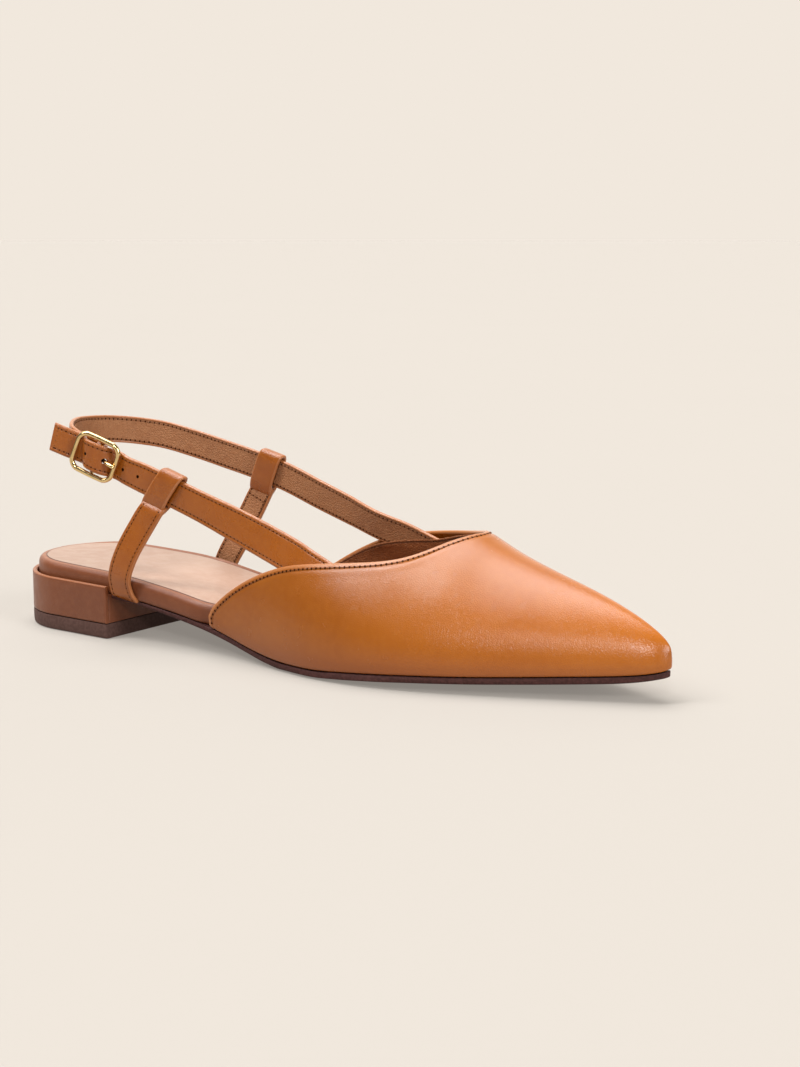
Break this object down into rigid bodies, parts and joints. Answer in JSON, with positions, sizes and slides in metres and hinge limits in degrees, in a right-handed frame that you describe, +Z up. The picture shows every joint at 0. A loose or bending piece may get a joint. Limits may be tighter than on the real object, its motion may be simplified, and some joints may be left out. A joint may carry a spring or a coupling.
{
  "type": "slingback ballet flat",
  "caption": "Pointed-toe leather slingback flat for the right foot, with a low block heel, straps from heel to vamp and a side buckle.",
  "frame": {"origin": "centre of the heel tread's round back, on the floor", "axes": "+X along the shoe to the toe, +Y to the medial side, +Z up; right shoe standing on its sole"},
  "size_m": [0.2577, 0.0725, 0.0759],
  "materials": {
    "tan_leather": "smooth satin",
    "footbed_leather": "matt",
    "heel_leather": "smooth satin",
    "sole_rubber": "matt",
    "top_lift_rubber": "matt",
    "brass": "polished"
  },
  "bodies": {
    "root": {"upper": "tan_leather", "sling_strap": "tan_leather", "back_strap": "tan_leather", "lateral_heel_strap": "tan_leather", "medial_heel_strap": "tan_leather", "footbed": "footbed_leather", "heel_block": "heel_leather", "outsole": "sole_rubber", "top_lift": "top_lift_rubber", "buckle_frame": "brass", "buckle_prong": "brass"}
  },
  "joints": []
}
